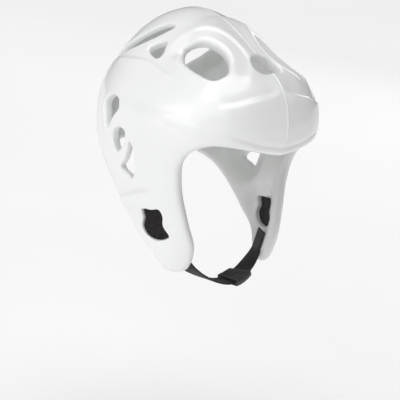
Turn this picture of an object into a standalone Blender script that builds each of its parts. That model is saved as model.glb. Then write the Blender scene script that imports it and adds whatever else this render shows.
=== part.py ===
"""Sparring head guard: a one-piece dipped foam shell, two ear meshes and a chin strap.

Every length is in millimetres until add_object() turns it into metres.
+X is the wearer's left, -Y the front, +Z up. The origin is the inside of the crown.

The shell is drawn on a chart: degrees forward and degrees up, as seen from the wearer's
right side. The chart wraps round a base form, and the left half mirrors the right one.
"""

from math import cos, pi, sin

import bpy
import numpy as np
from mathutils import Vector
from mathutils.geometry import delaunay_2d_cdt

# Driving dimensions
METRE = 0.001
CENTRE = np.array([0.0, 0.0, -85.0])
WALL = 14.0
EDGE_RADIUS = 5.6
EDGE_ROLL = -2.2
WALL_BLEND = 18.0
SQUARE_FRONT = 2.5
SQUARE_BACK = 2.15
PIECE_GAP = 0.3
EAR_MESH_DEPTH = 1.6
EAR_MESH_WALL = 1.6
STRAP_WIDTH = 20.0
STRAP_THICKNESS = 2.0
STRAP_SEAT = 0.95
CLASP_FROM = 4.0
CLASP_TO = 26.0
CLASP_WALL = 2.0

# Mesh sizes
OUTER_SPACING = 8.0
INNER_SPACING = 12.0
LOOP_SPACING = 6.5
LEAST_ROUND = 14
LEAST_OPEN = 6
RING_STEPS = 2
RELAX_ROUNDS = 4
SHARP_ANGLE = 0.9
FEWEST_ROUND = 10
FEWEST_OPEN = 4
SEAM_STEPS = 60
BORDER_STEPS = 200
BEYOND_SEAM = 1.02
SMALL_ANGLE = 0.25

# Shares of the mesh spacing
LINE_SHARE = 0.8
GUIDE_STEP = 0.45
GUIDE_CLEAR = 0.4
FIXED_CLEAR = 0.62
FREE_CLEAR = 0.93
TRIAL_SHARE = 0.22

# Shares of the ear opening's outline where the rings of its mesh lie
PATCH_SHARES = (1.0, 0.66, 0.33)

# Angle from the right side axis to the middle plane, on the chart
SEAM = 90.0
SEAM_CLEAR = 2.5

# Distance from CENTRE to the outer skin at each latitude
FORM = (
    # latitude, side, front, back
    (90, 99.0, 99.0, 99.0),
    (75, 97.0, 93.0, 105.5),
    (60, 88.0, 90.0, 109.0),
    (45, 84.0, 93.0, 110.0),
    (30, 88.0, 102.5, 107.0),
    (15, 94.0, 104.0, 104.5),
    (0, 92.5, 102.5, 104.5),
    (-15, 90.0, 101.0, 107.0),
    (-30, 95.5, 107.0, 110.0),
    (-45, 113.0, 125.0, 117.0),
    (-60, 146.0, 156.0, 131.0),
    (-75, 190.0, 196.0, 152.0),
)

# The edge of the right half, from the middle of the brow to the middle of the nape
EDGE = (
    # forward, up
    (89.7, -7.6),
    (76, -4.5),
    (60, -1.5),
    (48.2, -1.9),
    (40.3, -6),
    (33.1, -15),
    (31.3, -30),
    (33.4, -46),
    (34.1, -55),
    (29.1, -61.2),
    (20.8, -61.8),
    (10.2, -55.4),
    (-10.6, -43.9),
    (-34, -33),
    (-60, -30),
    (-83.7, -33),
)

# Each vent of the right half, anticlockwise on the chart
VENTS = (
    # name, wall at its lip, outer and inner lip radius, height of its rim, points (forward, up)
    ("crown", 9.0, 4.5, 2.0, 2.6,
     ((5.5, 56.5), (11.5, 48.2), (21.5, 43), (31, 39.3), (41, 37.3), (45, 43), (42.8, 52.3), (34, 62.2),
      (24.4, 64.4), (14.2, 63))),
    ("teardrop", 8.0, 2.5, 2.5, 0.6,
     ((-22, 47.8), (-14, 44.2), (-8, 44.9), (-7.8, 48), (-9.6, 52.3), (-11.3, 56), (-17.6, 53.8))),
    ("crown slot", 6.0, 2.2, 2.2, 0.0,
     ((-16.5, 66.6), (-20.5, 66.8), (-27.6, 63.4), (-34.8, 56.8), (-43.2, 47), (-53, 36), (-61.5, 26),
      (-60.5, 23.6), (-51, 28.8), (-42.3, 37), (-28.6, 51.4), (-20.6, 60.7))),
    ("rear top", 7.0, 2.2, 2.2, 0.6,
     ((-25.8, 7.6), (-24.5, 2.4), (-23.5, -6), (-15.7, 3), (-12.2, 7.5), (-13.3, 11), (-20, 13.1))),
    ("rear middle", 7.0, 2.2, 2.2, 0.6,
     ((-15.6, -6), (-18, -12.5), (-15.4, -18.5), (-10, -15.3), (-6.2, -9.7), (-6.4, -4.4), (-10.4, -3.4))),
    ("rear low", 7.0, 2.2, 2.2, 0.6,
     ((-7.6, -22.8), (-10.8, -27), (-5.4, -29.2), (-0.4, -30.4), (1.2, -25.6), (1.2, -17.8), (-2.2, -9.8),
      (-4.6, -16.8))),
    ("ear", 8.0, 1.4, 2.2, 0.8,
     ((9.5, -45.5), (8.6, -48.4), (10.2, -50.4), (14.3, -51.8), (20.4, -51.5), (23.8, -50.2), (20.9, -46.4),
      (21.1, -43), (19.7, -41.2), (14.5, -41.8), (8.2, -43.1))),
)

# The right half of the vent over the forehead, from its top to its bottom on the seam
FRONT_VENT = ("front", 8.0, 2.5, 2.5, 0.8,
              ((52.6, 73.03), (51.6, 66.3), (54.8, 59.5), (59.9, 54), (64.8, 53.6), (69, 57.78)))
RIM_REACH = 11.0

# Moulded steps and ribs. Heights stand proud of the base form and fade out over their reach.
RELIEF = (
    # name, height left of the line, its reach, height right of the line, its reach, points (forward, up)
    ("vent ring", 1.6, 9.0, 0.4, 9.0,
     ((-3, 50), (-3, 58), (1, 65), (9, 72), (22, 76), (37, 73), (49, 65), (56, 52), (55, 38))),
    ("crown dish", -3.6, 7.0, -3.6, 7.0, ((5, 45), (4, 52), (5.5, 59), (11, 66))),
    ("rear crease", -0.5, 6.0, 1.2, 9.0, ((-46, 32), (-31, 36), (-12, 40), (4, 37.5), (18, 33))),
    ("side rib low", 0.8, 9.0, -0.3, 9.0, ((4, 5), (13, 8.5), (26, 7.5), (35, 4.5), (45, 4))),
    ("side rib high", -0.3, 9.0, 0.6, 9.0, ((16, 13), (31, 12.5), (42, 8.5), (54, 7))),
    ("ear cup", -0.9, 7.0, 1.6, 13.0, ((-16, -44), (-8, -40.5), (0, -37.5), (9, -34.5), (20, -34))),
    ("brow ledge", -1.4, 11.0, 1.6, 11.0, ((46, 21), (57, 25.5), (63, 29.8), (69, 34), (75, 39.2), (78.5, 44))),
    ("brow lip", -0.8, 5.0, 0.6, 6.0, ((57, 4), (66, 3), (76, 1), (89.9, 0))),
    ("rear lip", 1.6, 5.0, 0.2, 6.0, ((-25, 15), (-28, 6), (-27, -6), (-22, -17), (-19, -27))),
)
RELIEF_SOFT = 2.5
RELIEF_END = 14.0

# The blunt keel along the middle plane, which stands on a shallow flat
KEEL = (
    # degrees up from straight ahead, share of its full height
    (0, 1.0),
    (35, 0.9),
    (60, 0.5),
    (100, 0.3),
    (150, 0.0),
)
KEEL_HEIGHT = 2.6
KEEL_REACH = 18.0
FLAT_DEPTH = 1.0
FLAT_REACH = 60.0

# The chin strap's way on the inside of the right flap, and its sag under the chin
STRAP_ON_FLAP = ((26.5, -53), (25.3, -56), (24.2, -59))
STRAP_BEND = 24.0
STRAP_STATIONS = 12
FLAP_STATIONS = 3
CHIN_DROP = 24.0
CHIN_FORWARD = 12.0
CHIN_WIDTH = 62.0

# Colours and roughness
MATERIALS = {
    # name: (red, green, blue), roughness
    "white_dipped_foam": ((0.86, 0.87, 0.86), 0.28),
    "black_mesh_fabric": ((0.02, 0.02, 0.022), 0.85),
    "black_webbing": ((0.015, 0.015, 0.017), 0.7),
    "black_plastic": ((0.02, 0.02, 0.02), 0.4),
}


def smooth(t):
    """Ease from 0 to 1."""
    t = np.clip(t, 0.0, 1.0)
    return t * t * (3.0 - 2.0 * t)


def spline(knots, values, at):
    """Natural cubic spline through (knots, values), with rising knots."""
    step = np.diff(knots)
    count = len(knots)
    matrix = np.eye(count)
    right = np.zeros(count)
    for i in range(1, count - 1):
        matrix[i, i - 1:i + 2] = step[i - 1], 2 * (step[i - 1] + step[i]), step[i]
        right[i] = 6 * ((values[i + 1] - values[i]) / step[i] - (values[i] - values[i - 1]) / step[i - 1])
    bend = np.linalg.solve(matrix, right)
    i = np.clip(np.searchsorted(knots, at) - 1, 0, count - 2)
    before = at - knots[i]
    after = knots[i + 1] - at
    curve = (bend[i] * after ** 3 + bend[i + 1] * before ** 3) / (6 * step[i])
    low = values[i] / step[i] - bend[i] * step[i] / 6
    high = values[i + 1] / step[i] - bend[i + 1] * step[i] / 6
    return curve + low * after + high * before


def direction(spot):
    """Unit vectors of chart spots, in degrees forward and up."""
    turn = np.radians(np.hypot(spot[:, 0], spot[:, 1]))
    lean = np.arctan2(spot[:, 1], spot[:, 0])
    return np.stack([-np.cos(turn), -np.sin(turn) * np.cos(lean), np.sin(turn) * np.sin(lean)], 1)


def chart(points):
    """Chart spots of 3-D points, the other way round."""
    ray = points - CENTRE
    ray = ray / np.linalg.norm(ray, axis=1)[:, None]
    turn = np.degrees(np.arccos(np.clip(-ray[:, 0], -1, 1)))
    flat = np.maximum(np.hypot(ray[:, 1], ray[:, 2]), 1e-9)
    return np.stack([-turn * ray[:, 1] / flat, turn * ray[:, 2] / flat], 1)


def base(spot):
    """Points of the outer skin before any relief."""
    ray = direction(spot)
    latitude = np.degrees(np.arcsin(np.clip(ray[:, 2], -1, 1)))
    round_y = np.arctan2(np.abs(ray[:, 0]), -ray[:, 1])
    table = np.array(FORM[::-1], float)
    side, front, back = (spline(table[:, 0], table[:, k], latitude) for k in (1, 2, 3))
    ahead = np.cos(round_y)
    square = SQUARE_BACK + (SQUARE_FRONT - SQUARE_BACK) * smooth(0.5 + 0.5 * ahead)
    power = 2 + (square - 2) * np.cos(np.radians(latitude)) ** 2
    reach = np.where(ahead > 0, front, back)
    flat = (np.abs(ahead) / reach) ** power + (np.sin(round_y) / side) ** power
    return CENTRE + ray * (flat ** (-1 / power))[:, None]


def normal(spot):
    """Unit normals of the base form, pointing out."""
    ahead = base(spot + (SMALL_ANGLE, 0)) - base(spot - (SMALL_ANGLE, 0))
    above = base(spot + (0, SMALL_ANGLE)) - base(spot - (0, SMALL_ANGLE))
    out = np.cross(ahead, above)
    out[on_seam(spot), 0] = 0.0
    return out / np.linalg.norm(out, axis=1)[:, None]


def on_seam(spot):
    """Which spots lie in the middle plane."""
    return np.hypot(spot[:, 0], spot[:, 1]) > SEAM - 1e-3


def to_seam(spot):
    """Move spots onto the middle plane."""
    return spot * (SEAM / np.hypot(spot[..., 0], spot[..., 1]))[..., None]


def across(spot):
    """The mirror image of a spot on the far side of the middle plane."""
    turn = np.hypot(*spot)
    return np.asarray(spot, float) * (2 * SEAM - turn) / turn


def curve(points, kind, pieces=10):
    """Smooth curve through points. Its kind is closed, open or seam (its ends cross the middle plane)."""
    points = np.array(points, float)
    if kind == "closed":
        points = np.vstack([points[-1:], points, points[:2]])
    elif kind == "seam":
        points[[0, -1]] = to_seam(points[[0, -1]])
        points = np.vstack([across(points[1]), points, across(points[-2])])
    else:
        points = np.vstack([2 * points[0] - points[1], points, 2 * points[-1] - points[-2]])
    step = np.linalg.norm(np.diff(points, axis=0), axis=1)
    slope = np.diff(points, axis=0) / step[:, None]
    lean = (slope[1:] * step[:-1, None] + slope[:-1] * step[1:, None]) / (step[:-1] + step[1:])[:, None]
    rows = []
    for i in range(len(lean) - 1):
        t = np.linspace(0, 1, pieces, endpoint=False)[:, None]
        start, end, length = points[i + 1], points[i + 2], step[i + 1]
        rows.append((2 * t ** 3 - 3 * t ** 2 + 1) * start + (3 * t ** 2 - 2 * t ** 3) * end
                    + length * ((t ** 3 - 2 * t ** 2 + t) * lean[i] + (t ** 3 - t ** 2) * lean[i + 1]))
    rows = np.vstack(rows)
    return rows if kind == "closed" else np.vstack([rows, points[-2:-1]])


def even(spots, gap, closed):
    """Spread spots evenly along their curve, about a gap apart on the skin."""
    ring = np.vstack([spots, spots[:1]]) if closed else spots
    along = np.concatenate([[0], np.cumsum(np.linalg.norm(np.diff(base(ring), axis=0), axis=1))])
    count = max(int(round(along[-1] / gap)), FEWEST_ROUND if closed else FEWEST_OPEN)
    at = np.linspace(0, along[-1], count + 1)
    found = np.stack([np.interp(at, along, ring[:, k]) for k in (0, 1)], 1)
    return found[:-1] if closed else found


def shifted(spots, distance, closed, seam=False):
    """Move a line of spots to its right along the skin, by a distance."""
    points = base(spots)
    if closed:
        way = np.roll(points, -1, 0) - np.roll(points, 1, 0)
    else:
        way = np.gradient(points, axis=0)
    if seam:
        way[[0, -1]] *= (1, 0, 0)
    side = np.cross(way, normal(spots))
    side /= np.linalg.norm(side, axis=1)[:, None]
    found = chart(points + distance * side)
    if seam:
        found[[0, -1]] = to_seam(found[[0, -1]])
    return found


def distance_to(line, points):
    """For each point: distance, offset and direction of a 3-D line, place along it, and its length."""
    start, step = line[:-1], np.diff(line, axis=0)
    length = np.linalg.norm(step, axis=1)
    along = np.concatenate([[0], np.cumsum(length)])
    best = np.full(len(points), np.inf)
    place = np.zeros(len(points))
    offset = np.zeros((len(points), 3))
    way = np.zeros((len(points), 3))
    for i in range(len(step)):
        t = np.clip((points - start[i]) @ step[i] / length[i] ** 2, 0, 1)
        gap = points - start[i] - t[:, None] * step[i]
        far = np.linalg.norm(gap, axis=1)
        near = far < best
        best[near] = far[near]
        place[near] = along[i] + t[near] * length[i]
        offset[near] = gap[near]
        way[near] = step[i] / length[i]
    return best, offset, way, place, along[-1]


def keel(points):
    """Height of the keel where the two halves of the brow and crown meet."""
    up = np.degrees(np.arctan2(points[:, 2] - CENTRE[2], -points[:, 1]))
    up = np.where(up < -SEAM, up + 360, up)
    angles, shares = np.array(KEEL, float).T
    off = np.abs(points[:, 0])
    rise = KEEL_HEIGHT * np.exp(-off / KEEL_REACH) - FLAT_DEPTH * np.exp(-(off / FLAT_REACH) ** 2)
    return np.interp(up, angles, shares) * rise


def relief(spot, loops):
    """Height of the skin above the base form: the keel, the rims of the vents and the moulded steps."""
    points, out = base(spot), normal(spot)
    height = keel(points)
    for loop in loops:
        if loop["rim"]:
            height += loop["rim"] * np.exp(-(distance_to(base(around(loop)), points)[0] / RIM_REACH) ** 2)
    for _, left, left_reach, right, right_reach, line in RELIEF:
        far, offset, way, place, total = distance_to(base(curve(line, "open")), points)
        to_right = np.einsum("ij,ij->i", np.cross(way, out), offset)
        mix = smooth(0.5 + to_right / (2 * RELIEF_SOFT))
        fade = smooth(np.minimum(place, total - place) / RELIEF_END)
        rise = left * np.exp(-(far / left_reach) ** 2) * (1 - mix)
        rise += right * np.exp(-(far / right_reach) ** 2) * mix
        height += rise * fade
    return height


def around(loop):
    """The spots of a loop, back to its first one if it is closed."""
    return np.vstack([loop["spots"], loop["spots"][:1]]) if loop["closed"] else loop["spots"]


def thickness(spot, loops):
    """Foam thickness: full, but thinner towards each vent's lip."""
    points = base(spot)
    wall = np.full(len(spot), WALL)
    for loop in loops:
        if loop["wall"] < WALL:
            far = distance_to(base(around(loop)), points)[0]
            wall = np.minimum(wall, loop["wall"] + (WALL - loop["wall"]) * smooth(far / WALL_BLEND))
    return wall


def make_loops():
    """The edge and the vents, as even lines of spots with their wall and lip radii."""
    rows = [("edge", WALL, EDGE_RADIUS, EDGE_RADIUS, EDGE_ROLL, EDGE, "seam"), FRONT_VENT + ("seam",)]
    rows += [vent + ("closed",) for vent in VENTS]
    loops = []
    for name, wall, outer, inner, rim, points, kind in rows:
        closed = kind == "closed"
        line = curve(points, kind)
        total = np.linalg.norm(np.diff(base(line), axis=0), axis=1).sum()
        gap = min(LOOP_SPACING, total / (LEAST_ROUND if closed else LEAST_OPEN))
        spots = even(line, gap, closed)
        loops.append({"name": name, "wall": wall, "outer": outer, "inner": inner, "rim": rim,
                      "closed": closed, "spots": spots})
    return loops


def inside(spots, polygon):
    """Which spots lie inside a closed polygon."""
    found = np.zeros(len(spots), bool)
    last = polygon[-1]
    for this in polygon:
        crosses = (this[1] > spots[:, 1]) != (last[1] > spots[:, 1])
        rise = last[1] - this[1] if last[1] != this[1] else 1e-12
        cut = (last[0] - this[0]) * (spots[:, 1] - this[1]) / rise + this[0]
        found ^= crosses & (spots[:, 0] < cut)
        last = this
    return found


def seam_spots(low, high, gap):
    """Spots on the middle plane between two angles, ends left out."""
    angles = np.linspace(low, high, SEAM_STEPS)
    spots = SEAM * np.stack([np.cos(angles), np.sin(angles)], 1)
    return to_seam(even(spots, gap, False)[1:-1])


def free_spots(fixed, gap, keep):
    """Spots spread over the skin, a gap apart and clear of the fixed ones."""
    trial = TRIAL_SHARE * gap
    rings = []
    for k, turn in enumerate(np.arange(0.0, SEAM, trial)):
        count = max(int(2 * pi * turn / trial), 1)
        angle = 2 * pi * (np.arange(count) + 0.5 * (k % 2)) / count
        rings.append(turn * np.stack([np.cos(angle), np.sin(angle)], 1))
    spots = np.vstack(rings)
    spots = spots[keep(spots)]
    points = base(spots)
    taken = np.zeros(len(spots), bool)
    for point in base(fixed):
        taken |= ((points - point) ** 2).sum(1) < (FIXED_CLEAR * gap) ** 2
    chosen = []
    for spot, point, i in zip(spots, points, range(len(spots))):
        if not taken[i]:
            chosen.append(spot)
            taken |= ((points - point) ** 2).sum(1) < (FREE_CLEAR * gap) ** 2
    return np.array(chosen)


def triangulate(spots, edges, keep):
    """Constrained Delaunay triangles whose middles pass keep()."""
    corners = [Vector((float(u), float(v))) for u, v in spots]
    found = delaunay_2d_cdt(corners, edges, [], 0, 1e-7)
    if len(found[0]) != len(spots):
        raise RuntimeError("the lines of the shell cross each other")
    faces = np.array(found[2], int)
    order = np.array([source[0] for source in found[3]], int)
    faces = order[faces]
    a, b, c = (spots[faces[:, k]] for k in range(3))
    turn = (b[:, 0] - a[:, 0]) * (c[:, 1] - a[:, 1]) - (b[:, 1] - a[:, 1]) * (c[:, 0] - a[:, 0])
    faces[turn < 0] = faces[turn < 0][:, ::-1]
    return faces[(np.abs(turn) > 1e-9) & keep((a + b + c) / 3)]


def relaxed(spots, edges, keep, first_free):
    """Triangles of the spots, after easing the free ones to the middle of their neighbours."""
    for _ in range(RELAX_ROUNDS):
        faces = triangulate(spots, edges, keep)
        total = np.zeros_like(spots)
        count = np.zeros(len(spots))
        for i, j in ((0, 1), (1, 2), (2, 0)):
            np.add.at(total, faces[:, i], spots[faces[:, j]])
            np.add.at(total, faces[:, j], spots[faces[:, i]])
            np.add.at(count, faces[:, i], 1)
            np.add.at(count, faces[:, j], 1)
        free = np.arange(len(spots)) >= first_free
        free &= count > 0
        spots[free] = total[free] / count[free, None]
    return spots, triangulate(spots, edges, keep)


def lip_rings(loop, radius):
    """Lines of spots that run out from a loop across its quarter-round lip, and how far each lies down."""
    rows = []
    for k in range(RING_STEPS + 1):
        angle = 0.5 * pi * k / RING_STEPS
        line = loop["spots"]
        if k:
            line = shifted(line, radius * (1 - cos(angle)), loop["closed"], not loop["closed"])
        rows.append((line, radius * (1 - sin(angle))))
    return rows


def seam_angle(spot):
    """Angle of a spot round the middle plane: from straight up at the front, over the crown."""
    return np.arctan2(spot[1], spot[0])


def middle_spots(edge, vent, gap):
    """Spots along the middle plane: the brow below the front vent, and the crown from it to the nape."""
    brow, nape = seam_angle(edge[0]), seam_angle(edge[-1]) + 2 * pi
    top, bottom = seam_angle(vent[0]), seam_angle(vent[-1])
    return np.vstack([seam_spots(brow, bottom, gap), seam_spots(top, nape, gap)])


def skin_test(loops):
    """A test of which spots lie on the right half of the skin, clear of its vents."""
    edge = loops[0]["spots"]
    angles = np.linspace(seam_angle(edge[-1]) + 2 * pi, seam_angle(edge[0]), BORDER_STEPS)
    beyond = BEYOND_SEAM * SEAM * np.stack([np.cos(angles), np.sin(angles)], 1)
    border = np.vstack([edge, beyond])

    def keep(found):
        good = inside(found, border)
        for loop in loops[1:]:
            good &= ~inside(found, loop["spots"])
        return good

    return keep


def make_sheet(loops, side, spacing, guides):
    """One face of the shell's right half: spots, lip drops, triangles and where each loop starts."""
    spots, drops, edges, starts, last = [], [], [], [], []
    count = 0
    for loop in loops:
        starts.append(count)
        for line, drop in lip_rings(loop, loop[side]):
            number = len(line)
            spots.append(line)
            drops.append(np.full(number, drop))
            edges += [(count + i, count + i + 1) for i in range(number - 1)]
            if loop["closed"]:
                edges.append((count + number - 1, count))
            count += number
        last.append(line)
    keep = skin_test(loops)
    spots.append(middle_spots(last[0], last[1], spacing * LINE_SHARE))
    fixed = np.vstack(spots)
    extra = guide_spots(guides, fixed, spacing, keep)
    free = free_spots(np.vstack([fixed, extra]), spacing, keep)
    first_free = len(fixed) + len(extra)
    all_spots, faces = relaxed(np.vstack([fixed, extra, free]), edges, keep, first_free)
    drops = np.concatenate(drops)
    drops = np.pad(drops, (0, len(all_spots) - len(drops)))
    return all_spots, drops, faces, starts


def guide_spots(guides, fixed, spacing, keep):
    """Spots along each moulded step, on it and beside it."""
    found = np.empty((0, 2))
    for row in guides:
        line = even(curve(row[-1], "open"), spacing * LINE_SHARE, False)
        for distance in (-GUIDE_STEP * spacing, 0, GUIDE_STEP * spacing):
            near = shifted(line, distance, False)
            near = near[keep(near) & (np.hypot(near[:, 0], near[:, 1]) < SEAM - SEAM_CLEAR)]
            others = base(np.vstack([fixed, found]))
            far = [((others - point) ** 2).sum(1).min() for point in base(near)]
            found = np.vstack([found, near[np.array(far) > (GUIDE_CLEAR * spacing) ** 2]])
    return found


def place(spots, drop, loops, face):
    """3-D points of a sheet: its outer face stands on the base form, its inner face lies a wall below."""
    height = relief(spots, loops) - drop if face == "outer" else drop - thickness(spots, loops)
    points = base(spots) + normal(spots) * height[:, None]
    points[on_seam(spots), 0] = 0.0
    return points


def shell_mesh():
    """Points and triangles of the whole shell."""
    loops = make_loops()
    outer_spots, outer_drop, outer_faces, outer_start = make_sheet(loops, "outer", OUTER_SPACING, RELIEF)
    inner_spots, inner_drop, inner_faces, inner_start = make_sheet(loops, "inner", INNER_SPACING, ())
    outer = place(outer_spots, outer_drop, loops, "outer")
    inner = place(inner_spots, inner_drop, loops, "inner")
    points = np.vstack([outer, inner])
    shift = len(outer)
    faces = [tuple(face) for face in outer_faces]
    faces += [tuple(face[::-1] + shift) for face in inner_faces]
    for loop, a, b in zip(loops, outer_start, inner_start):
        number = len(loop["spots"])
        for i in range(number if loop["closed"] else number - 1):
            j = (i + 1) % number
            faces += [(a + i, a + j, b + shift + j), (a + i, b + shift + j, b + shift + i)]
    return mirrored(points, faces)


def mirrored(points, faces):
    """Add the left half, sharing the points of the middle plane."""
    count = len(points)
    middle = points[:, 0] == 0.0
    partner = np.where(middle, np.arange(count), 0)
    partner[~middle] = count + np.arange((~middle).sum())
    flipped = points[~middle] * (-1, 1, 1)
    faces = [tuple(int(i) for i in face) for face in faces]
    faces += [tuple(int(partner[i]) for i in face[::-1]) for face in faces]
    return np.vstack([points, flipped]), faces


def patch_mesh(loop, depth, wall):
    """A thin closed patch that fills a vent, a small gap inside its wall."""
    spots = shifted(loop["spots"], -PIECE_GAP, True)
    number = len(spots)
    middle = spots.mean(0)
    rings = [middle + (spots - middle) * share for share in PATCH_SHARES] + [middle[None]]
    flat = np.vstack(rings)
    edges = [(i, (i + 1) % number) for i in range(number)]
    faces = triangulate(flat, edges, lambda found: inside(found, spots))
    top = base(flat) - normal(flat) * depth
    bottom = base(flat) - normal(flat) * (depth + wall)
    shift = len(flat)
    solid = [tuple(face) for face in faces] + [tuple(face[::-1] + shift) for face in faces]
    for i in range(number):
        j = (i + 1) % number
        solid += [(i, i + shift, j + shift), (i, j + shift, j)]
    return np.vstack([top, bottom]), [tuple(int(i) for i in face) for face in solid]


def strap_line():
    """Middle points, width and thickness directions of the chin strap, from the right flap to the left."""
    spots = curve(STRAP_ON_FLAP, "open", FLAP_STATIONS)
    out = normal(spots)
    on_flap = base(spots) - out * (WALL + STRAP_SEAT + STRAP_THICKNESS / 2)
    leave, down = on_flap[-1], on_flap[-1] - on_flap[-2]
    bottom = np.array([0.0, leave[1] - CHIN_FORWARD, leave[2] - CHIN_DROP])
    start_way = down * STRAP_BEND / np.linalg.norm(down)
    end_way = np.array([CHIN_WIDTH, 0.0, 0.0])
    t = np.linspace(0, 1, STRAP_STATIONS + 1)[1:, None]
    hang = ((2 * t ** 3 - 3 * t ** 2 + 1) * leave + (3 * t ** 2 - 2 * t ** 3) * bottom
            + (t ** 3 - 2 * t ** 2 + t) * start_way + (t ** 3 - t ** 2) * end_way)
    half = np.vstack([on_flap, hang])
    line = np.vstack([half, half[-2::-1] * (-1, 1, 1)])
    way = unit(np.gradient(line, axis=0))
    on_flap_wide = np.cross(out, way[:len(spots)])
    hang_wide = on_flap_wide[-1] * (1 - t) + np.array([0.0, -1.0, 0.0]) * t
    half_wide = np.vstack([on_flap_wide, hang_wide])
    wide = np.vstack([half_wide, half_wide[-2::-1] * (-1, 1, 1)])
    wide = unit(wide - way * np.einsum("ij,ij->i", wide, way)[:, None])
    return line, wide, np.cross(way, wide)


def unit(rows):
    """Each row scaled to length one."""
    return rows / np.linalg.norm(rows, axis=1)[:, None]


def band_rings(line, wide, thick, half_width, half_thickness):
    """Four corners of a flat band at each station."""
    rings = []
    for a, b in ((1, 1), (-1, 1), (-1, -1), (1, -1)):
        rings.append(line + a * half_width * wide + b * half_thickness * thick)
    return np.stack(rings, 1)


def tube_faces(stations, corners, start, flip):
    """Side triangles of a lofted band."""
    faces = []
    for s in range(stations - 1):
        for c in range(corners):
            a = start + s * corners + c
            b = start + s * corners + (c + 1) % corners
            for face in ((a, b, b + corners), (a, b + corners, a + corners)):
                faces.append(face[::-1] if flip else face)
    return faces


def strap_mesh():
    """The webbing as one flat band."""
    line, wide, thick = strap_line()
    points = band_rings(line, wide, thick, STRAP_WIDTH / 2, STRAP_THICKNESS / 2).reshape(-1, 3)
    last = len(points) - 4
    faces = tube_faces(len(line), 4, 0, False)
    faces += [(0, 2, 1), (0, 3, 2), (last, last + 1, last + 2), (last, last + 2, last + 3)]
    return points, faces


def clasp_mesh():
    """A plain sleeve round the strap, on the wearer's left of the chin."""
    line, wide, thick = strap_line()
    middle = len(line) // 2
    along = np.concatenate([[0], np.cumsum(np.linalg.norm(np.diff(line[middle:], axis=0), axis=1))])
    use = middle + np.where((along > CLASP_FROM) & (along < CLASP_TO))[0]
    line, wide, thick = line[use], wide[use], thick[use]
    inner_w, inner_t = STRAP_WIDTH / 2 + PIECE_GAP, STRAP_THICKNESS / 2 + PIECE_GAP
    outer = band_rings(line, wide, thick, inner_w + CLASP_WALL, inner_t + CLASP_WALL).reshape(-1, 3)
    inner = band_rings(line, wide, thick, inner_w, inner_t).reshape(-1, 3)
    stations, shift = len(line), len(outer)
    faces = tube_faces(stations, 4, 0, False) + tube_faces(stations, 4, shift, True)
    last = 4 * (stations - 1)
    for c in range(4):
        d = (c + 1) % 4
        faces += [(c, c + shift, d + shift), (c, d + shift, d)]
        faces += [(last + c, last + d, last + d + shift), (last + c, last + d + shift, last + c + shift)]
    return np.vstack([outer, inner]), faces


def make_material(name):
    """A plain Principled material."""
    colour, roughness = MATERIALS[name]
    material = bpy.data.materials.new(name)
    material.use_nodes = True
    shader = material.node_tree.nodes["Principled BSDF"]
    shader.inputs["Base Color"].default_value = (*colour, 1.0)
    shader.inputs["Roughness"].default_value = roughness
    shader.inputs["Metallic"].default_value = 0.0
    material.diffuse_color = (*colour, 1.0)
    return material


def add_object(name, mesh_data, material, parent):
    """Turn points in millimetres and triangles into a Blender object."""
    points, faces = mesh_data
    mesh = bpy.data.meshes.new(name)
    mesh.from_pydata([tuple(point) for point in np.asarray(points) * METRE], [], faces)
    mesh.update()
    mesh.materials.append(material)
    mesh.shade_smooth()
    mesh.set_sharp_from_angle(angle=SHARP_ANGLE)
    item = bpy.data.objects.new(name, mesh)
    item.parent = parent
    bpy.context.scene.collection.objects.link(item)
    return item


def flipped_side(mesh_data):
    """The same mesh on the wearer's left."""
    points, faces = mesh_data
    return points * (-1, 1, 1), [face[::-1] for face in faces]


def main():
    """Build the head guard in an empty scene."""
    for item in list(bpy.data.objects):
        bpy.data.objects.remove(item)
    guard = bpy.data.objects.new("head_guard", None)
    bpy.context.scene.collection.objects.link(guard)
    ear = next(loop for loop in make_loops() if loop["name"] == "ear")
    mesh_patch = patch_mesh(ear, EAR_MESH_DEPTH, EAR_MESH_WALL)
    fabric = make_material("black_mesh_fabric")
    add_object("shell", shell_mesh(), make_material("white_dipped_foam"), guard)
    add_object("ear_mesh_right", mesh_patch, fabric, guard)
    add_object("ear_mesh_left", flipped_side(mesh_patch), fabric, guard)
    add_object("chin_strap", strap_mesh(), make_material("black_webbing"), guard)
    add_object("strap_clasp", clasp_mesh(), make_material("black_plastic"), guard)


main()
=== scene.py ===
"""Looks of the sparring head guard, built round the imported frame.

Lengths are in millimetres until a piece or the camera is placed. Those of the studio and
of the bumps are in metres. +X is the wearer's left, -Y the front and +Z up, and the origin
is the inside of the crown.

The shell is drawn on a chart: degrees forward and degrees up, as seen from the wearer's
right side. The chart wraps round a base form, and the left half mirrors the right one.
"""

from math import cos, pi, radians, sin

import bpy
import numpy as np
from mathutils import Matrix, Vector
from mathutils.geometry import delaunay_2d_cdt
from mathutils.kdtree import KDTree


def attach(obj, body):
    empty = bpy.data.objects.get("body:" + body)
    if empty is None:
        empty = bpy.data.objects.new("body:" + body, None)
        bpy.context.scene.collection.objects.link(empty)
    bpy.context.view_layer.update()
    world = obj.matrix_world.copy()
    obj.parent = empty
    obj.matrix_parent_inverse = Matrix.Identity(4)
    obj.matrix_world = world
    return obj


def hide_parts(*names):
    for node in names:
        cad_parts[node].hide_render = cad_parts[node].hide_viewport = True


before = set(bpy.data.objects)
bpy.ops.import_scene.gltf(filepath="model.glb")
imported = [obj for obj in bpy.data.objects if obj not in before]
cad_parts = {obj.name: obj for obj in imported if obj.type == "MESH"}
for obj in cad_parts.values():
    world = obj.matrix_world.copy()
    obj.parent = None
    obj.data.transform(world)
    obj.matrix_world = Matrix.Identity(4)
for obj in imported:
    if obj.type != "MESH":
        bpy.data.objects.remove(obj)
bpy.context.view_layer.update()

METRE = 0.001

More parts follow.
